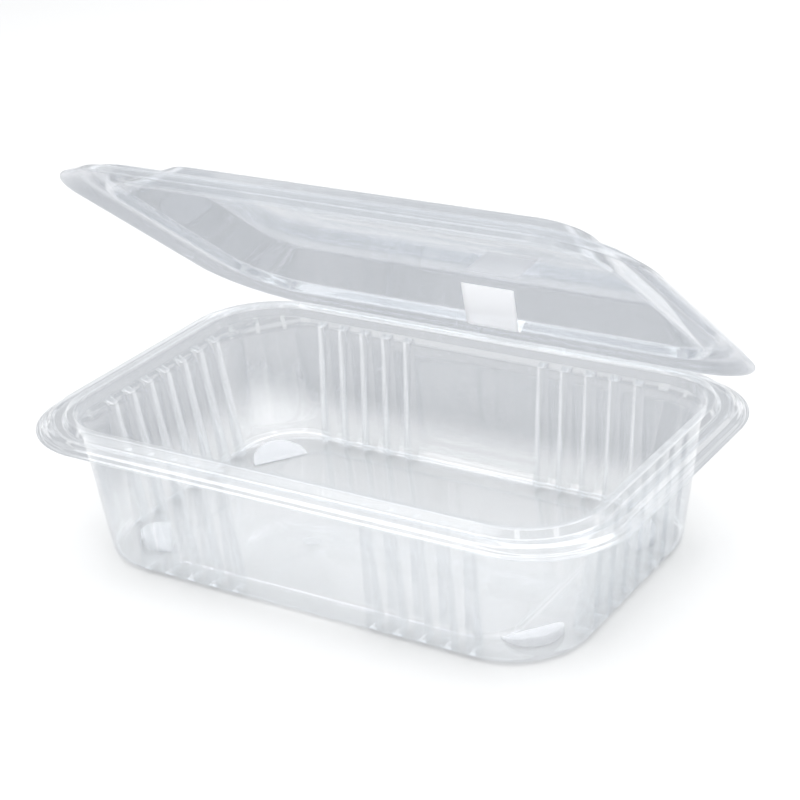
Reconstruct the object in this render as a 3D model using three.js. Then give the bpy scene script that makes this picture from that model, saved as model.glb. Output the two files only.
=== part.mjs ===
// Clear hinged takeaway container: a fluted rectangular tray with a shallow domed lid standing open.
// Millimetres, +Z up. The origin is the middle of the tray's footprint, on the surface that it stands on.
// X runs along the container, Y from its front edge to its hinge, and the lid hinges along +Y.
import * as THREE from 'three';

// Sheet and standing height
const SHEET = 0.5;
const FLOOR_Z = SHEET;
const PANEL_RISE = 1.2;

// Rounded rectangles are given by half length, half width, corner radius and height of the sheet's upper face
const PANEL = { a: 57.5, b: 38.4, r: 10, z: FLOOR_Z + PANEL_RISE };
const FOOT = { a: 75.0, b: 46.6, r: 20.6, z: FLOOR_Z };
const FOOT_FILLET = 3.0;
const WALL_TOP = { a: 81.4, b: 50.5, r: 18.5, z: 39.4 };
const LIP = { a: 95.0, b: 61.0, r: 27.8, z: 40.5 };

// Flutes: rounded ribs that stand into the tray and lean further in towards the floor.
// A rib's depth is given at the wall's top, at the top of the fillet at its foot, and at the floor.
const CENTRE_PANEL_HALF = 17.2;
const LONG_FLUTES = [6.3, 8.1, 8.1, 8.1, 8.1, 5.5];
const SHORT_FLUTES = 8;
const SHORT_PITCH = 8.5;
const SHORT_END = (SHORT_FLUTES * SHORT_PITCH) / 2;
const LONG_END = LONG_FLUTES.reduce((sum, width) => sum + width, CENTRE_PANEL_HALF);
const CREST_TOP = 2.2;
const CREST_FOOT = 6.4;
const CREST_TOE = 4.6;
const CREST_POWER = 1.5;
const CREST_RISE = 1.0;
const FLUTE_STEPS = [0, 0.22, 0.5, 0.78];
// Share of its distance from the wall's middle that a flute keeps at the wall's foot
const FAN_FOOT = 0.975;

// Hinge and the angle that the lid stands open at
const HINGE_Y = 61.2;
const HINGE_Z = 40.75;
const LID_OPEN_DEG = 38;

const CORNER_STEPS = 8;
const WALL_LEVELS = 3;

// Rim of the tray from the ledge outwards, upper face of the sheet
const TRAY_RIM = [
  { a: 83.1, b: 51.5, r: 19.8, z: 43.9 },
  { a: 83.5, b: 51.9, r: 20.4, z: 44.7 },
  { a: 84.4, b: 52.7, r: 21.2, z: 45.0 },
  { a: 85.6, b: 53.7, r: 22.1, z: 45.0 },
  { a: 86.4, b: 54.4, r: 22.8, z: 44.6 },
  { a: 87.2, b: 55.0, r: 23.4, z: 42.5 },
  { a: 88.3, b: 55.8, r: 24.2, z: 42.1 },
  { a: 89.8, b: 56.8, r: 25.2, z: 42.5 },
  { a: 91.1, b: 57.7, r: 26.3, z: 43.4 },
  { a: 92.2, b: 58.7, r: 26.9, z: 42.2 },
  { a: 93.5, b: 59.7, r: 27.3, z: 41.2 },
  LIP,
];
const LEDGE = { a: 82.7, b: 51.2, r: 19.4, z: WALL_TOP.z + CREST_RISE + 0.3 };

// Closed lid from its top panel outwards and down, lower face of the sheet
const LID_PROFILE = [
  { a: 66.5, b: 35.4, r: 10.5, z: 52.9 },
  { a: 68.5, b: 37.4, r: 12.2, z: 52.2 },
  { a: 74.5, b: 43.2, r: 15.0, z: 47.4 },
  { a: 79.3, b: 47.7, r: 17.2, z: 42.9 },
  { a: 80.4, b: 48.7, r: 18.0, z: 41.7 },
  { a: 81.5, b: 49.8, r: 18.9, z: 41.6 },
  { a: 82.2, b: 50.5, r: 19.5, z: 42.3 },
  { a: 82.5, b: 50.8, r: 19.8, z: 44.4 },
  { a: 83.4, b: 51.6, r: 20.4, z: 45.6 },
  { a: 86.2, b: 54.1, r: 22.5, z: 45.6 },
  { a: 87.3, b: 55.0, r: 23.4, z: 44.7 },
  { a: 88.6, b: 56.0, r: 24.4, z: 43.9 },
  { a: 90.9, b: 57.6, r: 26.2, z: 44.0 },
  { a: 92.3, b: 58.8, r: 26.9, z: 42.8 },
  { a: 93.5, b: 59.7, r: 27.2, z: 41.8 },
  { a: 94.7, b: 60.7, r: 27.5, z: 41.0 },
];

// The four corners in anticlockwise order, each followed by the side that runs on from it
const CORNERS = [
  { sx: 1, sy: 1, from: 0 },
  { sx: -1, sy: 1, from: 90 },
  { sx: -1, sy: -1, from: 180 },
  { sx: 1, sy: -1, from: 270 },
];

function cornerStations() {
  const list = [];
  CORNERS.forEach((corner, side) => {
    for (let k = 0; k <= CORNER_STEPS; k += 1) {
      const share = k / CORNER_STEPS;
      list.push({ corner, share, crest: 0, order: side * 2 + share });
    }
  });
  return list;
}

// Distances along a side of the flutes' points, with how far each reaches to the crest
function fluteRow(widths, start) {
  const row = [];
  let at = start;
  widths.forEach((width, index) => {
    FLUTE_STEPS.forEach((step) => {
      const outer = index === 0 && step < 0.5;
      row.push({ at: at + width * step, crest: outer ? 0 : 1 - Math.sin(Math.PI * step) ** CREST_POWER });
    });
    at += width;
  });
  const last = row.length - FLUTE_STEPS.filter((step) => step > 0.5).length;
  row.slice(last).forEach((point) => { point.crest = 0; });
  row.push({ at, crest: 0 });
  return row;
}

function longSide() {
  const right = fluteRow(LONG_FLUTES, CENTRE_PANEL_HALF);
  const left = right.map((point) => ({ at: -point.at, crest: point.crest })).reverse();
  return [...left, ...right];
}

function shortSide() {
  return fluteRow(new Array(SHORT_FLUTES).fill(SHORT_PITCH), -SHORT_END);
}

// Sides run anticlockwise: back, left, front, right, each after the corner of the same number
const SIDES = [
  { points: longSide, end: LONG_END, along: 'x', sign: -1, across: 1 },
  { points: shortSide, end: SHORT_END, along: 'y', sign: -1, across: -1 },
  { points: longSide, end: LONG_END, along: 'x', sign: 1, across: -1 },
  { points: shortSide, end: SHORT_END, along: 'y', sign: 1, across: 1 },
];

function wallStations() {
  const corners = cornerStations();
  const list = [];
  SIDES.forEach((side, number) => {
    const first = number * (CORNER_STEPS + 1);
    list.push(...corners.slice(first + 1, first + CORNER_STEPS));
    side.points().forEach((point) => {
      const order = number * 2 + 1 + (point.at / side.end + 1) / 2;
      list.push({ side, at: point.at, crest: point.crest, order });
    });
  });
  return list;
}

const RIM_STATIONS = cornerStations();
const WALL_STATIONS = wallStations();

// How far a side's flutes, which end at the given distance, run past its straight part
function pastStraight(end, half, radius, fan) {
  return Math.max(0, end * fan - (half - radius));
}

// A corner's stations share the arc that the flutes of its two sides leave free
function placeCorner(station, size, fan, z) {
  const { sx, sy } = station.corner;
  const low = Math.asin(pastStraight(SHORT_END, size.b, size.r, fan) / size.r);
  const high = Math.acos(pastStraight(LONG_END, size.a, size.r, fan) / size.r);
  const share = sx * sy > 0 ? station.share : 1 - station.share;
  const angle = low + (high - low) * share;
  const x = sx * (size.a - size.r + size.r * Math.cos(angle));
  const y = sy * (size.b - size.r + size.r * Math.sin(angle));
  return new THREE.Vector3(x, y, z);
}

// Where a station lies on a rounded rectangle, with its rib pushed in by the crest's depth
function place(station, size, { depth = 0, rise = 0, fan = 0 }) {
  const z = size.z + rise * station.crest;
  if (station.corner) return placeCorner(station, size, fan, z);
  const { along, sign, across } = station.side;
  const half = along === 'x' ? size.a : size.b;
  const reach = along === 'x' ? size.b : size.a;
  const s = sign * station.at * fan;
  const past = Math.max(0, Math.abs(s) - (half - size.r));
  const level = reach - size.r + Math.sqrt(size.r ** 2 - past ** 2) - depth * station.crest;
  return along === 'x' ? new THREE.Vector3(s, across * level, z) : new THREE.Vector3(across * level, s, z);
}

function makeRing(stations, size, ribs = {}) {
  const points = stations.map((station) => place(station, size, ribs));
  return { points, orders: stations.map((station) => station.order) };
}

// Moves a profile by the sheet's thickness, square to the line through its neighbours
function offsetProfile(profile, thickness) {
  return profile.map((size, index) => {
    const before = profile[Math.max(0, index - 1)];
    const after = profile[Math.min(profile.length - 1, index + 1)];
    const run = after.b - before.b;
    const rise = after.z - before.z;
    const length = Math.hypot(run, rise);
    const out = (-rise / length) * thickness;
    const up = (run / length) * thickness;
    return { a: size.a + out, b: size.b + out, r: Math.max(1, size.r + out), z: size.z + up };
  });
}

// Closed surface through a list of rings, shut at both ends by a fan round a middle point
class Shell {
  constructor() {
    this.vertices = [];
    this.faces = [];
  }

  addRing(ring) {
    const first = this.vertices.length;
    this.vertices.push(...ring.points);
    return { first, count: ring.points.length, orders: ring.orders };
  }

  cap(ring, z, flip) {
    const middle = this.vertices.length;
    this.vertices.push(new THREE.Vector3(0, 0, z));
    for (let i = 0; i < ring.count; i += 1) {
      const p = ring.first + i;
      const q = ring.first + ((i + 1) % ring.count);
      this.faces.push(flip ? [middle, q, p] : [middle, p, q]);
    }
  }

  // Joins two rings, which may hold different numbers of points, in the order of their stations
  bridge(lower, upper) {
    let i = 0;
    let j = 0;
    while (i < lower.count || j < upper.count) {
      const p = lower.first + (i % lower.count);
      const q = upper.first + (j % upper.count);
      const nextLower = i + 1 < lower.count ? lower.orders[i + 1] : lower.orders[0] + 8 + (i + 1 - lower.count);
      const nextUpper = j + 1 < upper.count ? upper.orders[j + 1] : upper.orders[0] + 8 + (j + 1 - upper.count);
      const stepLower = i < lower.count && (j >= upper.count || nextLower < nextUpper - 1e-9);
      if (stepLower) {
        this.faces.push([p, q, lower.first + ((i + 1) % lower.count)]);
        i += 1;
      } else {
        this.faces.push([p, q, upper.first + ((j + 1) % upper.count)]);
        j += 1;
      }
    }
  }

  geometry() {
    const positions = this.vertices.flatMap((v) => [v.x, v.y, v.z]);
    const geometry = new THREE.BufferGeometry();
    geometry.setAttribute('position', new THREE.Float32BufferAttribute(positions, 3));
    geometry.setIndex(this.faces.flat());
    geometry.computeVertexNormals();
    return geometry;
  }
}

function shellThrough(rings, startZ, endZ) {
  const shell = new Shell();
  const placed = rings.map((ring) => shell.addRing(ring));
  shell.cap(placed[0], startZ, false);
  for (let i = 0; i + 1 < placed.length; i += 1) shell.bridge(placed[i], placed[i + 1]);
  shell.cap(placed[placed.length - 1], endZ, true);
  return shell.geometry();
}

// Rings of the fluted wall from the floor to its top, for one face of the sheet
function wallRings(shift, filletRadius, floorZ) {
  const lerp = THREE.MathUtils.lerp;
  const grow = (size, by, z) => ({ a: size.a + by, b: size.b + by, r: size.r + by * 0.5, z });
  const foot = grow(FOOT, shift * 0.4, floorZ);
  const rings = [makeRing(WALL_STATIONS, foot, { depth: CREST_TOE, fan: FAN_FOOT })];
  const filletTop = grow(FOOT, FOOT_FILLET, floorZ + filletRadius);
  [30, 60].forEach((degrees) => {
    const angle = THREE.MathUtils.degToRad(degrees);
    const out = shift * 0.4 + (FOOT_FILLET + shift * 0.6) * Math.sin(angle);
    const up = filletRadius * (1 - Math.cos(angle));
    const depth = lerp(CREST_TOE, CREST_FOOT, Math.sin(angle));
    rings.push(makeRing(WALL_STATIONS, grow(FOOT, out, floorZ + up), { depth, fan: FAN_FOOT }));
  });
  for (let k = 0; k <= WALL_LEVELS; k += 1) {
    const t = k / WALL_LEVELS;
    const size = {
      a: lerp(filletTop.a, WALL_TOP.a, t) + shift,
      b: lerp(filletTop.b, WALL_TOP.b, t) + shift,
      r: lerp(filletTop.r, WALL_TOP.r, t) + shift,
      z: lerp(filletTop.z, WALL_TOP.z - shift, t),
    };
    const rise = k === WALL_LEVELS ? CREST_RISE : 0;
    rings.push(makeRing(WALL_STATIONS, size, { depth: lerp(CREST_FOOT, CREST_TOP, t), fan: lerp(FAN_FOOT, 1, t), rise }));
  }
  return rings;
}

function trayGeometry() {
  const panelFoot = { a: PANEL.a + 0.8, b: PANEL.b + 0.8, r: PANEL.r + 0.8, z: FLOOR_Z };
  const rimBelow = offsetProfile([LEDGE, ...TRAY_RIM], -SHEET);
  const ledgeBelow = rimBelow.shift();
  const upper = [
    makeRing(RIM_STATIONS, PANEL),
    makeRing(RIM_STATIONS, panelFoot),
    ...wallRings(0, FOOT_FILLET, FLOOR_Z),
    makeRing(WALL_STATIONS, LEDGE, { fan: 1 }),
    ...TRAY_RIM.map((size) => makeRing(RIM_STATIONS, size)),
  ];
  const lower = [
    makeRing(RIM_STATIONS, { ...PANEL, z: PANEL_RISE }),
    makeRing(RIM_STATIONS, { ...panelFoot, z: 0 }),
    ...wallRings(SHEET, FOOT_FILLET + SHEET, 0),
    makeRing(WALL_STATIONS, ledgeBelow, { fan: 1 }),
    ...rimBelow.map((size) => makeRing(RIM_STATIONS, size)),
  ];
  const rings = [...upper, ...lower.reverse()];
  return shellThrough(rings, PANEL.z, PANEL_RISE);
}

function lidGeometry() {
  const topFace = offsetProfile(LID_PROFILE, SHEET);
  const rings = [...topFace, ...[...LID_PROFILE].reverse()].map((size) => makeRing(RIM_STATIONS, size));
  return shellThrough(rings, topFace[0].z, LID_PROFILE[0].z);
}

function clearPlastic(color) {
  return new THREE.MeshStandardMaterial({ color, roughness: 0.08, metalness: 0, transparent: true, opacity: 0.4 });
}

const container = new THREE.Group();

const tray = new THREE.Mesh(trayGeometry(), clearPlastic(0xd9dee3));
tray.name = 'tray';
container.add(tray);

// The lid's own shape is the closed one, and its group turns it back about the hinge line
const lidPivot = new THREE.Group();
lidPivot.position.set(0, HINGE_Y, HINGE_Z);
lidPivot.rotation.x = -THREE.MathUtils.degToRad(LID_OPEN_DEG);
const lid = new THREE.Mesh(lidGeometry(), clearPlastic(0xdde2e7));
lid.name = 'lid';
lid.position.set(0, -HINGE_Y, -HINGE_Z);
lidPivot.add(lid);
container.add(lidPivot);

export default container;
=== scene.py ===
"""Looks of a clear hinged takeaway container: its fluted tray, domed lid, hinge film and studio."""

import math

import bmesh
import bpy
from bpy.props import FloatProperty, FloatVectorProperty, IntProperty, PointerProperty
from mathutils import Matrix, Vector


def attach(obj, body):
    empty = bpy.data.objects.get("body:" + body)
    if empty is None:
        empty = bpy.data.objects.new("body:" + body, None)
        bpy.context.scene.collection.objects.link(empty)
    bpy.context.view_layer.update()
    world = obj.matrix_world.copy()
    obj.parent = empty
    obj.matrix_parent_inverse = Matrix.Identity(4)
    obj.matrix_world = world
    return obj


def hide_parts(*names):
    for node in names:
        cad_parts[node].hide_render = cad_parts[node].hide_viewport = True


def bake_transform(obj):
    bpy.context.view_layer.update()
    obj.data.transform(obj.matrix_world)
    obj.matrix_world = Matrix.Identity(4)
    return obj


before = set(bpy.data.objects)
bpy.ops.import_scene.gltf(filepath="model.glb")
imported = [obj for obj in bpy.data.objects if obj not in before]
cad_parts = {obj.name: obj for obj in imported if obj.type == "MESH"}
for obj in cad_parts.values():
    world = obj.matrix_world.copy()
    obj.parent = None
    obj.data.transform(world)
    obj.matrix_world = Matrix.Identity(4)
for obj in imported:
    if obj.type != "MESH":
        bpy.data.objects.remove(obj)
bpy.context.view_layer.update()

bl_info = {
    "name": "Hinged Takeaway Container",
    "version": (1, 0, 0),
    "blender": (4, 5, 0),
    "location": "3D View > Sidebar > Container",
    "description": "Builds a clear thermoformed container with its lid standing open, and a pale studio",
    "category": "Add Mesh",
}

MM = 0.001

# The tray from its raised panel outwards, as rounded rectangles in millimetres: half length, half width,
# corner radius and height of the sheet's upper face
PANEL = (57.5, 38.4, 10.0, 1.7)
PANEL_FOOT = (58.2, 39.1, 10.7, 0.5)
FOOT = (75.0, 46.6, 20.6, 0.5)
WALL_FOOT = (78.0, 49.6, 22.1, 3.5)
WALL_TOP = (81.4, 50.5, 18.5, 39.4)
LEDGE = (82.7, 51.2, 19.4, 40.7)
TRAY_RIM = (
    (83.1, 51.5, 19.8, 43.9),
    (83.7, 52.1, 20.5, 45.0),
    (86.1, 54.1, 22.5, 45.0),
    (87.2, 55.0, 23.4, 42.3),
    (89.7, 56.7, 25.1, 42.2),
    (91.0, 57.6, 26.2, 43.5),
    (92.2, 58.7, 26.9, 42.0),
    (93.5, 59.7, 27.3, 41.5),
    (93.9, 60.0, 27.4, 40.7),
    (95.0, 61.0, 27.8, 40.5),
)

# The closed lid from its top panel outwards and down, lower face of the sheet
LID_ROWS = (
    (66.5, 35.4, 10.5, 52.9),
    (68.0, 36.9, 11.8, 52.5),
    (79.3, 47.7, 17.2, 42.9),
    (80.4, 48.7, 18.0, 41.7),
    (81.6, 49.9, 19.0, 41.6),
    (82.2, 50.5, 19.5, 42.3),
    (82.5, 50.8, 19.8, 45.2),
    (83.2, 51.4, 20.3, 45.6),
    (86.4, 54.2, 22.6, 45.6),
    (87.2, 54.9, 23.3, 44.7),
    (88.6, 56.0, 24.4, 43.9),
    (90.9, 57.6, 26.2, 44.0),
    (92.3, 58.8, 26.9, 42.8),
    (93.5, 59.7, 27.2, 41.9),
    (94.7, 60.7, 27.5, 41.0),
)

# Width of an extra ring inside a flat panel, and how the corners of the rows are rounded: reach and faces,
# with the largest share of the way to the next row that the rounding takes
FLAT_EDGE = 3.0
PANEL_SOFTNESS = (0.25, 2)
RIM_SOFTNESS = (0.45, 3)
LID_SOFTNESS = (0.5, 3)
LARGEST_SHARE = 0.45

# Plain middle of a long wall: half its length, and the places along it that have a row of faces
CENTRE_PANEL_HALF = 17.2
CENTRE_PANEL_POINTS = (3.0, 9.0, 14.0, 16.4)

# Flutes: rounded ribs that stand into the tray, with their depth at the wall's top and above the fillet
LONG_FLUTES = (6.3, 8.1, 8.1, 8.1, 8.1, 5.5)
LONG_END = CENTRE_PANEL_HALF + sum(LONG_FLUTES)
SHORT_FLUTES = (8.5,) * 8
SHORT_END = sum(SHORT_FLUTES) / 2
CREST_TOP = 2.2
CREST_FOOT = 6.4
CREST_RISE = 0.6

# Half the width of a rib, as a share of its flute, and places of the faces on the flat between two ribs
RIB_HALF = 0.23
FLAT_SHARES = (0.15, 0.5, 1.0)

# Share of its distance from the wall's middle that a flute keeps at the wall's foot
FAN_FOOT = 0.975

# Share of a corner's radius that the flutes stay away from its end at least
CORNER_CLEAR = 0.3

# Faces of the lid over half a rib of the tray, whose places its rows share, though it has no ribs
LID_FLUTE_STEPS = 6

# Rows of faces across the floor round its panel, as shares of the way, and how many there are up the wall
FLOOR_SHARES = (0.06, 0.94, 1.0)
WALL_STEPS = 8

# Half-round lugs in the floor's corners: middle of their straight edge, direction that they rise in, radius,
# heights at their foot, straight edge and round edge, and the rounding of their top
LUG_CENTRE = (61.0, 29.0)
LUG_TURN = (0.8, 0.6)
LUG_RADIUS = 9.0
LUG_FOOT = 0.4
LUG_LOW = 0.7
LUG_HIGH = 3.5
LUG_ROUNDING = 0.25
LUG_SEGMENTS = 56

# Smooth ring round the foot, and the ribs' lower ends above it: turn up the fillet in degrees, and depth
RING_TURNS = (12.0, 24.0, 34.0, 41.0)
RIB_ENDS = ((42.0, 0.4), (44.0, 2.6), (46.5, 4.6), (51.0, 5.6), (58.0, 6.1), (68.0, 6.35), (79.0, 6.4))

# Studio walls: height as the sine of the elevation, with the share of the full strength there
WALL_BANDS = (
    (0.0, 0.22),
    (0.1, 0.25),
    (0.16, 0.47),
    (0.26, 0.47),
    (0.32, 0.27),
    (0.5, 0.29),
    (0.58, 0.44),
    (0.74, 0.4),
    (0.77, 1.0),
    (0.88, 1.0),
    (0.91, 0.34),
    (1.0, 0.34),
)

# Upright pale strips on the walls, in shares of a whole turn round the studio: places, half width and fading
WALL_STRIPS = (0.06, 0.17, 0.28, 0.42, 0.58, 0.67, 0.76, 0.93)
STRIP_HALF = 0.01
STRIP_FADE = 0.004
STRIP_LEVEL = 0.55

# Full strength of the walls, and their colour at a level of one
WALL_STRENGTH = 3.0
WALL_COLOUR = (0.975, 0.985, 1.0)

# Lamp over the table: middle and size in metres, and power in watts
LAMP_PLACE = (0.1, 0.0, 0.95)
LAMP_SIZE = 1.6
LAMP_POWER = 28.0

# Table: half its length in metres, its colour and its roughness
TABLE_HALF = 6.0
TABLE_COLOUR = (0.375, 0.375, 0.375)
TABLE_ROUGHNESS = 0.8

# Painted shade on the table, shown only through the sheet: its colour under the foot and beyond it, and the
# way between in millimetres. The grey beyond makes the clear walls read grey
PAINTED_SHADE_NEAR = (0.385, 0.386, 0.389)
PAINTED_SHADE_BEYOND = (0.182, 0.187, 0.195)
PAINTED_SHADE_FADE = 40.0

# Share of gloss on the sheet where it is seen straight on and edge-on, and how late it grows
GLOSS_FACING = 0.1
GLOSS_EDGE = 0.85
GLOSS_POWER = 4.0

# Share of light that a face lets through when seen edge-on, against straight on, and where its loss begins
EDGE_TINT = (0.97, 0.975, 0.98)
EDGE_TINT_FROM = 0.3

# Faces of clear sheet that a ray may pass
CLEAR_LAYERS = 32

# Drag lines in the sheet: how often they repeat in a metre along X, Y and Z, their relief in millimetres
# and the share of it that shows
TRAY_STREAKS = (260.0, 260.0, 18.0)
LID_STREAKS = (12.0, 260.0, 260.0)
FILM_STREAKS = (18.0, 260.0, 260.0)
MARK_STREAKS = (40.0, 40.0, 40.0)
STREAK_RELIEF = 0.3
STREAK_STRENGTH = 0.1

# Share of what is behind them that the frosted plaque and the pale grey lugs cover, and their roughness
PLAQUE_COVER = 0.65
LUG_COVER = 0.32
FROST_ROUGHNESS = 0.45

# Edges turn sharp past these angles between their faces, in degrees: pressed sheet, cut pieces, round pieces
SHEET_SHARP = 40.0
CUT_SHARP = 30.0
ROUND_SHARP = 60.0

# A point on the hinge's line in millimetres, and the lid's turn up from its closed place
HINGE = Vector((0.0, 61.2, 40.75))
LID_OPEN = math.radians(38.0)

# Section of the hinge film from the tray's lip to the open lid's, as (y, z), and half its length
FILM_PATH = ((60.6, 40.5), (61.0, 40.45), (61.32, 40.7), (61.3, 41.0), (60.98, 41.25))
FILM_HALF = 66.0

# Blank plaque under the lid's slope, as (y, z) on the closed lid, with its ends along X and its thickness
PLAQUE_PATH = (
    (38.3, 51.0),
    (47.4, 42.8),
    (48.6, 41.5),
    (50.0, 41.4),
    (50.5, 42.2),
    (50.9, 45.2),
    (51.5, 45.45),
    (54.0, 45.45),
)
PLAQUE_X = (-3.0, 15.0)
PLAQUE_SHEET = 0.1

# Faces along the film and the plaque
FILM_COLUMNS = 24
PLAQUE_COLUMNS = 12

# Round mark that the mould leaves in the floor: middle, radius along X, share of it along Y, height and faces
MARK_CENTRE = (-20.0, -14.5, 1.75)
MARK_RADIUS = 3.0
MARK_NARROWING = 0.8
MARK_HEIGHT = 0.55
MARK_FACES = (40, 20)


def blend_rows(first, second, share):
    """The rounded rectangle that lies a share of the way from the first to the second."""
    return tuple(p + (q - p) * share for p, q in zip(first, second))


def soften(rows, reach, steps):
    """Rounds each inner corner of a list of rounded rectangles, over reach millimetres on either side."""
    soft = [rows[0]]
    for before, corner, after in zip(rows, rows[1:], rows[2:]):
        start = blend_rows(corner, before, min(LARGEST_SHARE, reach / section_length(corner, before)))
        end = blend_rows(corner, after, min(LARGEST_SHARE, reach / section_length(corner, after)))
        for k in range(steps + 1):
            share = k / steps
            soft.append(blend_rows(blend_rows(start, corner, share), blend_rows(corner, end, share), share))
    soft.append(rows[-1])
    return soft


def shrink(row, by):
    """A smaller rounded rectangle at the same height, which keeps the sheet inside it evenly shaded."""
    return row[0] - by, row[1] - by, row[2], row[3]


def section_length(first, second):
    """The distance between two rounded rectangles, measured in a section across the long side."""
    return math.hypot(first[1] - second[1], first[3] - second[3])


def flute_section(steps):
    """Shares across one flute, from ridge to ridge, with the crest share at each."""
    turns = [math.radians(90 * k / steps) for k in range(steps + 1)]
    rib = [(RIB_HALF * math.sin(turn), math.cos(turn)) for turn in turns]
    flat = [(RIB_HALF + (0.5 - RIB_HALF) * share, 0.0) for share in FLAT_SHARES]
    rising = [(1.0 - share, crest) for share, crest in reversed(rib + flat[:-1])]
    return rib + flat + rising


def flute_points(widths, start, steps):
    """Distances along a wall with the crest share at each, over flutes that begin and end level."""
    section = flute_section(steps)
    points = []
    at = start
    last = len(widths) - 1
    for number, width in enumerate(widths):
        for share, crest in section if number == last else section[:-1]:
            outer = (number == 0 and share < 0.5) or (number == last and share > 0.5)
            points.append((at + width * share, 0.0 if outer else crest))
        at += width
    return points


def stations(flute_steps, corner_steps):
    """Places round a rounded rectangle, anticlockwise.

    A place in a corner is ("corner", sx, sy, share), and one on a wall is ("x" or "y", side, at, crest)."""
    right = [(at, 0.0) for at in CENTRE_PANEL_POINTS]
    right += flute_points(LONG_FLUTES, CENTRE_PANEL_HALF, flute_steps)
    long_row = [(-at, crest) for at, crest in reversed(right)] + right
    short_row = flute_points(SHORT_FLUTES, -SHORT_END, flute_steps)
    found = []
    for sx, sy in ((1, 1), (-1, 1), (-1, -1), (1, -1)):
        for k in range(1, corner_steps):
            share = k / corner_steps
            found.append(("corner", sx, sy, share if sx * sy > 0 else 1.0 - share))
        along, side = ("x", sy) if sx * sy > 0 else ("y", sx)
        row = long_row if along == "x" else short_row
        turn = -side if along == "x" else side
        for at, crest in sorted(row, key=lambda point: point[0] * turn):
            found.append((along, side, at, crest))
    return found


def flutes_end(end, half, radius, fan):
    """How far from the middle of its side a row of flutes ends, which is at the latest inside the corner."""
    return min(end * fan, half - CORNER_CLEAR * radius)


def place(station, row, ribs):
    """The point of a station on a rounded rectangle, pushed inwards and up where a rib's crest is."""
    a, b, r, z = row
    depth, rise, fan = ribs
    kind, first, second, third = station
    long_end = flutes_end(LONG_END, a, r, fan)
    short_end = flutes_end(SHORT_END, b, r, fan)
    if kind == "corner":
        low = math.asin(max(0.0, short_end - b + r) / r)
        high = math.acos(max(0.0, long_end - a + r) / r)
        angle = low + (high - low) * third
        x = first * (a - r + r * math.cos(angle))
        y = second * (b - r + r * math.sin(angle))
        return Vector((x, y, z))
    half, reach = (a, b) if kind == "x" else (b, a)
    along = second * (long_end / LONG_END if kind == "x" else short_end / SHORT_END)
    past = max(0.0, abs(along) - (half - r))
    level = first * (reach - r + math.sqrt(r * r - past * past) - depth * third)
    if kind == "x":
        return Vector((along, level, z + rise * third))
    return Vector((level, along, z + rise * third))


def first_loop(bm, count):
    """A closed loop of vertices that each know their number round it."""
    number = bm.verts.layers.int.new("station")
    made = bmesh.ops.create_circle(bm, cap_ends=False, radius=1.0, segments=count)
    for index, vert in enumerate(made["verts"]):
        vert[number] = index
    return list(bm.edges)


def move_loop(bm, edges, point_at):
    """Puts each vertex of a loop where point_at(its number) says, in millimetres."""
    number = bm.verts.layers.int["station"]
    for vert in {vert for edge in edges for vert in edge.verts}:
        vert.co = point_at(vert[number]) * MM


def grow_loop(bm, edges, point_at):
    """Extrudes a loop and moves the new one into place."""
    grown = bmesh.ops.extrude_edge_only(bm, edges=edges)["geom"]
    fresh = {item for item in grown if isinstance(item, bmesh.types.BMVert)}
    loop = [item for item in grown if isinstance(item, bmesh.types.BMEdge) and set(item.verts) <= fresh]
    move_loop(bm, loop, point_at)
    return loop


def finish_mesh(bm, name, body, material, sharp_degrees):
    """Turns a bmesh into a piece, which moves with a body where one is given."""
    bmesh.ops.recalc_face_normals(bm, faces=bm.faces)
    mesh = bpy.data.meshes.new(name)
    bm.to_mesh(mesh)
    bm.free()
    for polygon in mesh.polygons:
        polygon.use_smooth = True
    mesh.set_sharp_from_angle(angle=math.radians(sharp_degrees))
    piece = bpy.data.objects.new(name, mesh)
    bpy.context.scene.collection.objects.link(piece)
    mesh.materials.append(material)
    if body:
        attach(piece, body)
    return piece


def thicken(piece, thickness):
    """Gives an open sheet its thickness, below or inside the modelled face."""
    solid = piece.modifiers.new("Sheet", "SOLIDIFY")
    solid.thickness = thickness
    solid.offset = -1.0
    solid.use_even_offset = False


def fillet_row(degrees):
    """Row at a turn up the fillet between the floor and the wall."""
    turn = math.radians(degrees)
    out = math.sin(turn)
    up = 1.0 - math.cos(turn)
    return tuple(p + (q - p) * share for p, q, share in zip(FOOT, WALL_FOOT, (out, out, out, up)))


def tray_rows():
    """All rows of the tray from its raised panel outwards, as (row, (crest depth, crest rise, fan))."""
    flat = (0.0, 0.0, FAN_FOOT)
    rows = [(shrink(PANEL, FLAT_EDGE), flat), (PANEL, flat)]
    rows += [(row, flat) for row in soften((PANEL, PANEL_FOOT, FOOT), *PANEL_SOFTNESS)[1:-1]]
    rows += [(blend_rows(PANEL_FOOT, FOOT, share), flat) for share in FLOOR_SHARES]
    rows += [(fillet_row(turn), flat) for turn in RING_TURNS]
    rows += [(fillet_row(turn), (depth, 0.0, FAN_FOOT)) for turn, depth in RIB_ENDS]
    for k in range(WALL_STEPS + 1):
        share = k / WALL_STEPS
        rise = CREST_RISE * max(0.0, share * WALL_STEPS - WALL_STEPS + 1)
        depth = CREST_FOOT + (CREST_TOP - CREST_FOOT) * share
        fan = FAN_FOOT + (1.0 - FAN_FOOT) * share
        rows.append((blend_rows(WALL_FOOT, WALL_TOP, share), (depth, rise, fan)))
    rim = soften((WALL_TOP, LEDGE) + TRAY_RIM, *RIM_SOFTNESS)
    rows += [(row, (0.0, 0.0, 1.0)) for row in rim[2:]]
    return rows


class TraySettings(bpy.types.PropertyGroup):
    """Sizes of the tray."""

    sheet: FloatProperty(name="Sheet", description="Thickness of the tray's sheet",
                         default=0.4 * MM, unit="LENGTH")
    flute_steps: IntProperty(name="Flute Steps", description="Faces across half a rib", default=5, min=3)
    corner_steps: IntProperty(name="Corner Steps", description="Faces round one corner", default=16, min=6)


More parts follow.
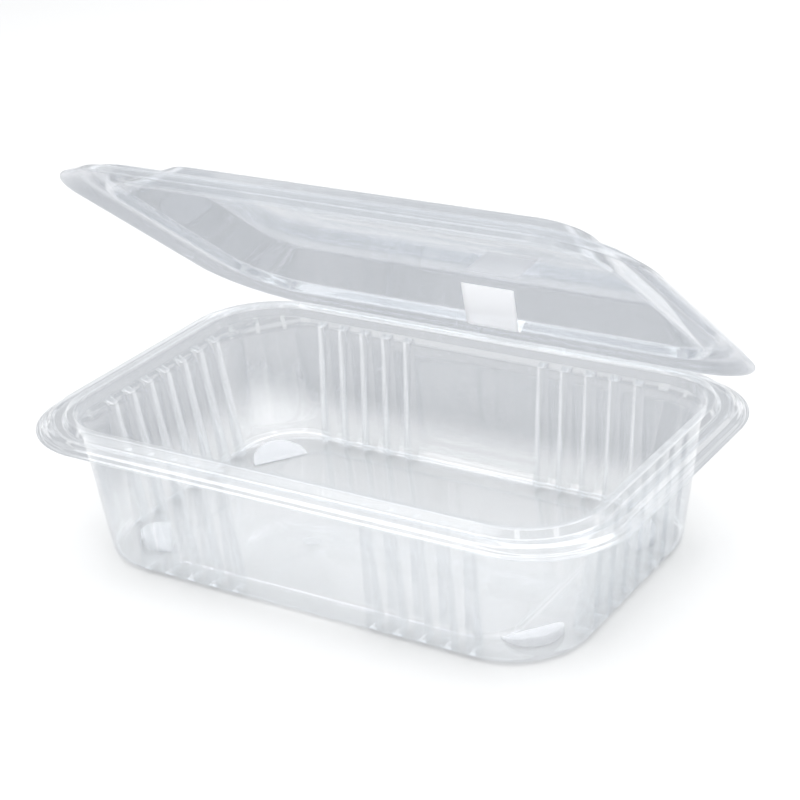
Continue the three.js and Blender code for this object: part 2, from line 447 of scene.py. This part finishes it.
class LidSettings(bpy.types.PropertyGroup):
    """Sizes of the lid."""

    sheet: FloatProperty(name="Sheet", description="Thickness of the lid's sheet",
                         default=0.4 * MM, unit="LENGTH")
    film: FloatProperty(name="Film", description="Thickness of the hinge film",
                        default=0.15 * MM, unit="LENGTH")
    corner_steps: IntProperty(name="Corner Steps", description="Faces round one corner", default=24, min=6)


class PlasticSettings(bpy.types.PropertyGroup):
    """Colours of the clear sheet."""

    tray_tint: FloatVectorProperty(name="Tray Tint", description="Colour that a face of the tray lets pass",
                                   default=(0.985, 0.988, 0.99), subtype="COLOR", min=0.0, max=1.0)
    lid_tint: FloatVectorProperty(name="Lid Tint", description="Colour that a face of the lid lets pass",
                                  default=(0.98, 0.984, 0.988), subtype="COLOR", min=0.0, max=1.0)
    tray_gloss: FloatVectorProperty(name="Tray Gloss", description="Colour of the gloss on the tray",
                                    default=(0.94, 0.943, 0.95), subtype="COLOR", min=0.0, max=1.0)
    # Painted shade: the lid's gloss is dimmer than the tray's, though lid and tray are one sheet, so the lid
    # reads darker
    lid_dimmed_gloss: FloatVectorProperty(name="Lid Gloss", description="Colour of the gloss on the lid",
                                   default=(0.8, 0.81, 0.83), subtype="COLOR", min=0.0, max=1.0)
    frost: FloatVectorProperty(name="Frost", description="Colour of the blank plaque",
                               default=(0.86, 0.86, 0.87), subtype="COLOR", min=0.0, max=1.0)
    # Pale grey colour of the floor's lugs, which cover a share of what is behind them
    lug_pale: FloatVectorProperty(name="Milk", description="Colour of the floor's milky lugs",
                              default=(0.63, 0.64, 0.66), subtype="COLOR", min=0.0, max=1.0)
    roughness: FloatProperty(name="Roughness", description="Roughness of the gloss", default=0.03,
                             subtype="FACTOR", min=0.0, max=1.0)


class StageSettings(bpy.types.PropertyGroup):
    """The studio and its camera."""

    azimuth: FloatProperty(name="Azimuth", description="Camera's turn from the front, to the right",
                           default=math.radians(33.1605), subtype="ANGLE")
    elevation: FloatProperty(name="Elevation", description="Camera's height above the table as an angle",
                             default=math.radians(24.3158), subtype="ANGLE")
    roll: FloatProperty(name="Roll", description="Camera's roll",
                        default=math.radians(-3.6966), subtype="ANGLE")
    distance: FloatProperty(name="Distance", description="Camera's distance from its target",
                            default=587.793 * MM, unit="LENGTH")
    target: FloatVectorProperty(name="Target", description="Point in the middle of the picture",
                                default=(6.155 * MM, -2.317 * MM, 47.189 * MM), subtype="TRANSLATION")
    lens: FloatProperty(name="Lens", description="Focal length in millimetres, on a sensor 36 mm wide",
                        default=93.2555)


def clear_plastic(name, tint, gloss_colour, roughness, streaks):
    """Clear gloss sheet, which faintly tints what is behind it and has more gloss where it is seen edge-on.

    Noise that the streaks stretch gives its gloss the fine drag lines of pressed sheet."""
    material = bpy.data.materials.new(name)
    material.use_nodes = True
    nodes, links = material.node_tree.nodes, material.node_tree.links
    nodes.clear()
    output = nodes.new("ShaderNodeOutputMaterial")
    mix = nodes.new("ShaderNodeMixShader")
    through = nodes.new("ShaderNodeBsdfTransparent")
    gloss = nodes.new("ShaderNodeBsdfPrincipled")
    gloss.inputs["Base Color"].default_value = (*gloss_colour, 1.0)
    gloss.inputs["Metallic"].default_value = 1.0
    gloss.inputs["Roughness"].default_value = roughness
    facing = nodes.new("ShaderNodeLayerWeight")
    facing.inputs["Blend"].default_value = 0.5
    edge = nodes.new("ShaderNodeMath")
    edge.operation = "POWER"
    edge.inputs[1].default_value = GLOSS_POWER
    weight = nodes.new("ShaderNodeMapRange")
    weight.inputs["To Min"].default_value = GLOSS_FACING
    weight.inputs["To Max"].default_value = GLOSS_EDGE
    ramp = nodes.new("ShaderNodeValToRGB")
    ramp.color_ramp.elements[0].color = (*tint, 1.0)
    ramp.color_ramp.elements[0].position = EDGE_TINT_FROM
    ramp.color_ramp.elements[1].color = (*(part * loss for part, loss in zip(tint, EDGE_TINT)), 1.0)
    coords = nodes.new("ShaderNodeTexCoord")
    stretch = nodes.new("ShaderNodeMapping")
    stretch.inputs["Scale"].default_value = streaks
    noise = nodes.new("ShaderNodeTexNoise")
    noise.inputs["Scale"].default_value = 1.0
    noise.inputs["Detail"].default_value = 2.0
    bump = nodes.new("ShaderNodeBump")
    bump.inputs["Strength"].default_value = STREAK_STRENGTH
    bump.inputs["Distance"].default_value = STREAK_RELIEF * MM
    links.new(coords.outputs["Object"], stretch.inputs["Vector"])
    links.new(stretch.outputs["Vector"], noise.inputs["Vector"])
    links.new(noise.outputs["Fac"], bump.inputs["Height"])
    links.new(bump.outputs["Normal"], gloss.inputs["Normal"])
    links.new(bump.outputs["Normal"], facing.inputs["Normal"])
    links.new(facing.outputs["Facing"], edge.inputs[0])
    links.new(edge.outputs["Value"], weight.inputs["Value"])
    links.new(facing.outputs["Facing"], ramp.inputs["Fac"])
    links.new(ramp.outputs["Color"], through.inputs["Color"])
    links.new(weight.outputs["Result"], mix.inputs["Fac"])
    links.new(through.outputs["BSDF"], mix.inputs[1])
    links.new(gloss.outputs["BSDF"], mix.inputs[2])
    links.new(mix.outputs["Shader"], output.inputs["Surface"])
    return material


def frosted_plastic(name, colour, cover):
    """Matt white sheet that covers a share of what is behind it and lets the rest through."""
    material = bpy.data.materials.new(name)
    material.use_nodes = True
    paint = material.node_tree.nodes["Principled BSDF"]
    paint.inputs["Base Color"].default_value = (*colour, 1.0)
    paint.inputs["Roughness"].default_value = FROST_ROUGHNESS
    paint.inputs["Alpha"].default_value = cover
    return material


def table_with_painted_shade():
    """White table with painted shade: it turns grey away from the container, but only where a ray has come
    through the clear sheet and not off its gloss.

    The painted grey on the table, not a grey wall in the studio, is what makes the clear sheet read grey."""
    material = bpy.data.materials.new("white_table_painted_shade")
    material.use_nodes = True
    nodes, links = material.node_tree.nodes, material.node_tree.links
    paint = nodes["Principled BSDF"]
    paint.inputs["Roughness"].default_value = TABLE_ROUGHNESS
    paint.inputs["Specular IOR Level"].default_value = 0.0
    coords = nodes.new("ShaderNodeTexCoord")
    size = nodes.new("ShaderNodeVectorMath")
    size.operation = "ABSOLUTE"
    beyond = nodes.new("ShaderNodeVectorMath")
    beyond.operation = "SUBTRACT"
    beyond.inputs[1].default_value = (FOOT[0] * MM, FOOT[1] * MM, 0.0)
    split = nodes.new("ShaderNodeSeparateXYZ")
    farther = nodes.new("ShaderNodeMath")
    farther.operation = "MAXIMUM"
    fade = nodes.new("ShaderNodeMapRange")
    fade.interpolation_type = "SMOOTHSTEP"
    fade.inputs["From Min"].default_value = 0.0
    fade.inputs["From Max"].default_value = PAINTED_SHADE_FADE * MM
    path = nodes.new("ShaderNodeLightPath")
    behind = nodes.new("ShaderNodeMath")
    behind.operation = "GREATER_THAN"
    behind.inputs[1].default_value = 0.5
    straight = nodes.new("ShaderNodeMath")
    straight.operation = "LESS_THAN"
    straight.inputs[1].default_value = 0.5
    through_sheet_mask = nodes.new("ShaderNodeMath")
    through_sheet_mask.operation = "MULTIPLY"
    # Painted grey that the table shows through the sheet, darker away from the foot
    painted_grey = nodes.new("ShaderNodeMix")
    painted_grey.data_type = "RGBA"
    painted_grey.inputs["A"].default_value = (*PAINTED_SHADE_NEAR, 1.0)
    painted_grey.inputs["B"].default_value = (*PAINTED_SHADE_BEYOND, 1.0)
    seen = nodes.new("ShaderNodeMix")
    seen.data_type = "RGBA"
    seen.inputs["A"].default_value = (*TABLE_COLOUR, 1.0)
    links.new(coords.outputs["Object"], size.inputs[0])
    links.new(size.outputs["Vector"], beyond.inputs[0])
    links.new(beyond.outputs["Vector"], split.inputs["Vector"])
    links.new(split.outputs["X"], farther.inputs[0])
    links.new(split.outputs["Y"], farther.inputs[1])
    links.new(farther.outputs["Value"], fade.inputs["Value"])
    links.new(fade.outputs["Result"], painted_grey.inputs["Factor"])
    # Painted shade only where a ray came through the clear sheet and not off its gloss
    links.new(path.outputs["Transparent Depth"], behind.inputs[0])
    links.new(path.outputs["Glossy Depth"], straight.inputs[0])
    links.new(behind.outputs["Value"], through_sheet_mask.inputs[0])
    links.new(straight.outputs["Value"], through_sheet_mask.inputs[1])
    links.new(through_sheet_mask.outputs["Value"], seen.inputs["Factor"])
    links.new(painted_grey.outputs["Result"], seen.inputs["B"])
    links.new(seen.outputs["Result"], paint.inputs["Base Color"])
    return material


def studio_walls():
    """Grey studio with a pale band, a white ring overhead and upright pale strips, which the gloss shows."""
    world = bpy.data.worlds.new("studio")
    world.use_nodes = True
    nodes, links = world.node_tree.nodes, world.node_tree.links
    coords = nodes.new("ShaderNodeTexCoord")
    split = nodes.new("ShaderNodeSeparateXYZ")
    bands = nodes.new("ShaderNodeValToRGB")
    elements = bands.color_ramp.elements
    while len(elements) < len(WALL_BANDS):
        elements.new(0.5)
    for element, (height, level) in zip(elements, WALL_BANDS):
        element.position = height
        element.color = (*(level * part for part in WALL_COLOUR), 1.0)
    background = nodes["Background"]
    background.inputs["Strength"].default_value = WALL_STRENGTH
    round_turn = nodes.new("ShaderNodeTexGradient")
    round_turn.gradient_type = "RADIAL"
    strips = nodes.new("ShaderNodeValToRGB")
    stops = []
    for middle in WALL_STRIPS:
        stops.append((middle - STRIP_HALF - STRIP_FADE, 0.0))
        stops.append((middle - STRIP_HALF, STRIP_LEVEL))
        stops.append((middle + STRIP_HALF, STRIP_LEVEL))
        stops.append((middle + STRIP_HALF + STRIP_FADE, 0.0))
    while len(strips.color_ramp.elements) < len(stops):
        strips.color_ramp.elements.new(0.5)
    for element, (turn, level) in zip(strips.color_ramp.elements, stops):
        element.position = turn
        element.color = (level, level, level, 1.0)
    brighter = nodes.new("ShaderNodeVectorMath")
    brighter.operation = "MAXIMUM"
    links.new(coords.outputs["Generated"], split.inputs["Vector"])
    links.new(split.outputs["Z"], bands.inputs["Fac"])
    links.new(coords.outputs["Generated"], round_turn.inputs["Vector"])
    links.new(round_turn.outputs["Fac"], strips.inputs["Fac"])
    links.new(bands.outputs["Color"], brighter.inputs[0])
    links.new(strips.outputs["Color"], brighter.inputs[1])
    links.new(brighter.outputs["Vector"], background.inputs["Color"])
    return world


class CONTAINER_OT_tray(bpy.types.Operator):
    """Build the fluted tray with its stepped rim."""

    bl_idname = "container.tray"
    bl_label = "Tray"

    def execute(self, context):
        sizes = context.scene.container_tray
        look = context.scene.container_plastic
        places = stations(sizes.flute_steps, sizes.corner_steps)
        rows = tray_rows()
        bm = bmesh.new()
        loop = first_loop(bm, len(places))
        move_loop(bm, loop, lambda number: place(places[number], *rows[0]))
        bmesh.ops.contextual_create(bm, geom=loop)
        for row, ribs in rows[1:]:
            loop = grow_loop(bm, loop, lambda number: place(places[number], row, ribs))
        material = clear_plastic("clear_tray_sheet", look.tray_tint, look.tray_gloss, look.roughness,
                                 TRAY_STREAKS)
        tray = finish_mesh(bm, "clear_tray", "tray", material, SHEET_SHARP)
        thicken(tray, sizes.sheet)
        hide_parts("tray")
        return {"FINISHED"}


class CONTAINER_OT_lid(bpy.types.Operator):
    """Build the domed lid, standing open."""

    bl_idname = "container.lid"
    bl_label = "Lid"

    def execute(self, context):
        sizes = context.scene.container_lid
        look = context.scene.container_plastic
        places = stations(LID_FLUTE_STEPS, sizes.corner_steps)
        rows = soften((shrink(LID_ROWS[0], FLAT_EDGE),) + LID_ROWS, *LID_SOFTNESS)
        flat = (0.0, 0.0, 1.0)
        bm = bmesh.new()
        loop = first_loop(bm, len(places))
        move_loop(bm, loop, lambda number: place(places[number], rows[0], flat))
        bmesh.ops.contextual_create(bm, geom=loop)
        for row in rows[1:]:
            loop = grow_loop(bm, loop, lambda number: place(places[number], row, flat))
        bmesh.ops.rotate(bm, verts=bm.verts, cent=HINGE * MM, matrix=Matrix.Rotation(-LID_OPEN, 3, "X"))
        # The lid's gloss is dimmed below the tray's as painted shade
        material = clear_plastic("clear_lid_sheet", look.lid_tint, look.lid_dimmed_gloss, look.roughness,
                                 LID_STREAKS)
        lid = finish_mesh(bm, "clear_lid", "lid", material, SHEET_SHARP)
        thicken(lid, sizes.sheet)
        lid.modifiers["Sheet"].offset = 1.0
        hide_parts("lid")
        return {"FINISHED"}


def add_lug(bm, sx, sy):
    """A half-round wedge in one corner of the floor, which rises towards the corner."""
    outwards = Vector((sx * LUG_TURN[0], sy * LUG_TURN[1], 0.0))
    middle = Vector((sx * LUG_CENTRE[0], sy * LUG_CENTRE[1], LUG_FOOT)) * MM
    others = set(bm.faces)
    bmesh.ops.create_circle(bm, cap_ends=True, radius=LUG_RADIUS * MM, segments=LUG_SEGMENTS,
                            matrix=Matrix.Translation(middle))
    disc = [face for face in bm.faces if face not in others]
    parts = disc + list(disc[0].edges) + list(disc[0].verts)
    bmesh.ops.bisect_plane(bm, geom=parts, plane_co=middle, plane_no=outwards, clear_inner=True)
    half_disc = [face for face in bm.faces if face not in others]
    raised = bmesh.ops.extrude_face_region(bm, geom=half_disc, use_keep_orig=True)["geom"]
    for vert in [item for item in raised if isinstance(item, bmesh.types.BMVert)]:
        away = (vert.co - middle).dot(outwards) / (LUG_RADIUS * MM)
        vert.co.z = (LUG_LOW + (LUG_HIGH - LUG_LOW) * away) * MM
    rim = [item for item in raised if isinstance(item, bmesh.types.BMEdge)]
    bmesh.ops.bevel(bm, geom=rim, offset=LUG_ROUNDING * MM, segments=2, affect="EDGES",
                    profile=0.5, material=-1)


class CONTAINER_OT_lugs(bpy.types.Operator):
    """Build the half-round lugs in the floor's corners and the round mark in its middle."""

    bl_idname = "container.lugs"
    bl_label = "Floor Lugs and Mark"

    def execute(self, context):
        look = context.scene.container_plastic
        bm = bmesh.new()
        for sx, sy in ((1, 1), (-1, 1), (-1, -1), (1, -1)):
            add_lug(bm, sx, sy)
        material = frosted_plastic("pale_lugs", look.lug_pale, LUG_COVER)
        finish_mesh(bm, "floor_lugs", "tray", material, CUT_SHARP)

        bm = bmesh.new()
        around, down = MARK_FACES
        bmesh.ops.create_uvsphere(bm, u_segments=around, v_segments=down, radius=MARK_RADIUS * MM)
        flatten = Matrix.Diagonal((1.0, MARK_NARROWING, MARK_HEIGHT / MARK_RADIUS))
        bmesh.ops.transform(bm, verts=bm.verts, matrix=flatten.to_4x4())
        bmesh.ops.translate(bm, verts=bm.verts, vec=Vector(MARK_CENTRE) * MM)
        material = clear_plastic("clear_mark", look.tray_tint, look.tray_gloss, look.roughness,
                                 MARK_STREAKS)
        finish_mesh(bm, "floor_mark", "tray", material, ROUND_SHARP)
        return {"FINISHED"}


def strip(bm, section, x_from, x_to, columns):
    """A sheet swept along X from a section of (y, z) points, in millimetres."""
    line = [bm.verts.new(Vector((x_from, y, z)) * MM) for y, z in section]
    edges = [bm.edges.new(pair) for pair in zip(line, line[1:])]
    step = Vector(((x_to - x_from) / columns * MM, 0.0, 0.0))
    bmesh.ops.spin(bm, geom=line + edges, cent=(0.0, 0.0, 0.0), axis=(1.0, 0.0, 0.0), angle=0.0,
                   dvec=step, steps=columns)


class CONTAINER_OT_film(bpy.types.Operator):
    """Build the thin film that joins lid and tray along the hinge."""

    bl_idname = "container.film"
    bl_label = "Hinge Film"

    def execute(self, context):
        look = context.scene.container_plastic
        bm = bmesh.new()
        strip(bm, FILM_PATH, -FILM_HALF, FILM_HALF, FILM_COLUMNS)
        material = clear_plastic("clear_film", look.tray_tint, look.tray_gloss, look.roughness,
                                 FILM_STREAKS)
        film = finish_mesh(bm, "hinge_film", None, material, ROUND_SHARP)
        thicken(film, context.scene.container_lid.film)
        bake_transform(film)
        return {"FINISHED"}


class CONTAINER_OT_plaque(bpy.types.Operator):
    """Build the blank frosted plaque on the lid's slope at the hinge."""

    bl_idname = "container.plaque"
    bl_label = "Plaque"

    def execute(self, context):
        look = context.scene.container_plastic
        bm = bmesh.new()
        section = soften([(0.0, y, 0.0, z) for y, z in PLAQUE_PATH], *LID_SOFTNESS)
        strip(bm, [(row[1], row[3]) for row in section], *PLAQUE_X, PLAQUE_COLUMNS)
        bmesh.ops.rotate(bm, verts=bm.verts, cent=HINGE * MM, matrix=Matrix.Rotation(-LID_OPEN, 3, "X"))
        material = frosted_plastic("frosted_plaque", look.frost, PLAQUE_COVER)
        plaque = finish_mesh(bm, "blank_plaque", "lid", material, ROUND_SHARP)
        thicken(plaque, PLAQUE_SHEET * MM)
        return {"FINISHED"}


class CONTAINER_OT_stage(bpy.types.Operator):
    """Build the pale table, the studio walls, the soft lamp and the camera."""

    bl_idname = "container.stage"
    bl_label = "Studio"

    def execute(self, context):
        scene = context.scene
        view = scene.container_stage
        bm = bmesh.new()
        bmesh.ops.create_grid(bm, x_segments=1, y_segments=1, size=TABLE_HALF)
        # The table's paint carries painted shade: grey where it is seen through the clear sheet
        table = finish_mesh(bm, "table", None, table_with_painted_shade(), CUT_SHARP)

        scene.world = studio_walls()
        self.add_lamp("overhead_box")

        camera_data = bpy.data.cameras.new("camera")
        camera_data.sensor_width = 36.0
        camera_data.lens = view.lens
        camera = bpy.data.objects.new("camera", camera_data)
        scene.collection.objects.link(camera)
        azimuth = view.azimuth
        elevation = view.elevation
        roll = view.roll
        level = Vector((math.sin(azimuth), -math.cos(azimuth), 0.0))
        back = level * math.cos(elevation) + Vector((0.0, 0.0, math.sin(elevation)))
        right = Vector((math.cos(azimuth), math.sin(azimuth), 0.0))
        up = back.cross(right)
        turned_right = right * math.cos(roll) + up * math.sin(roll)
        turned_up = up * math.cos(roll) - right * math.sin(roll)
        position = Vector(view.target) + back * view.distance
        axes = Matrix((turned_right, turned_up, back)).transposed()
        camera.matrix_world = Matrix.Translation(position) @ axes.to_4x4()
        scene.camera = camera
        scene.cycles.transparent_max_bounces = CLEAR_LAYERS
        scene.view_settings.view_transform = "Standard"
        scene.view_settings.look = "None"
        return {"FINISHED"}

    def add_lamp(self, name):
        """A soft square lamp that shines straight down and doesn't show in the gloss."""
        lamp_data = bpy.data.lights.new(name, "AREA")
        lamp_data.shape = "SQUARE"
        lamp_data.size = LAMP_SIZE
        lamp_data.energy = LAMP_POWER
        lamp = bpy.data.objects.new(name, lamp_data)
        bpy.context.scene.collection.objects.link(lamp)
        lamp.visible_glossy = False
        lamp.matrix_world = Matrix.Translation(LAMP_PLACE)


class CONTAINER_PT_sidebar(bpy.types.Panel):
    """Buttons and sizes of the container."""

    bl_label = "Takeaway Container"
    bl_idname = "CONTAINER_PT_sidebar"
    bl_space_type = "VIEW_3D"
    bl_region_type = "UI"
    bl_category = "Container"

    def draw(self, context):
        layout = self.layout
        for group_name, operators in PANEL_GROUPS:
            group = getattr(context.scene, group_name)
            box = layout.box()
            for key in group.__annotations__:
                box.prop(group, key)
            for operator in operators:
                box.operator(operator)


PANEL_GROUPS = (
    ("container_tray", ("container.tray", "container.lugs")),
    ("container_lid", ("container.lid", "container.film", "container.plaque")),
    ("container_plastic", ()),
    ("container_stage", ("container.stage",)),
)

SETTINGS = {
    "container_tray": TraySettings,
    "container_lid": LidSettings,
    "container_plastic": PlasticSettings,
    "container_stage": StageSettings,
}

CLASSES = (
    *SETTINGS.values(),
    CONTAINER_OT_tray,
    CONTAINER_OT_lugs,
    CONTAINER_OT_lid,
    CONTAINER_OT_film,
    CONTAINER_OT_plaque,
    CONTAINER_OT_stage,
    CONTAINER_PT_sidebar,
)


def register():
    for cls in CLASSES:
        bpy.utils.register_class(cls)
    for name, group in SETTINGS.items():
        setattr(bpy.types.Scene, name, PointerProperty(type=group))


def unregister():
    for name in SETTINGS:
        delattr(bpy.types.Scene, name)
    for cls in reversed(CLASSES):
        bpy.utils.unregister_class(cls)


def main():
    register()
    bpy.ops.container.tray()
    bpy.ops.container.lugs()
    bpy.ops.container.lid()
    bpy.ops.container.film()
    bpy.ops.container.plaque()
    bpy.ops.container.stage()


if __name__ == "__main__":
    main()
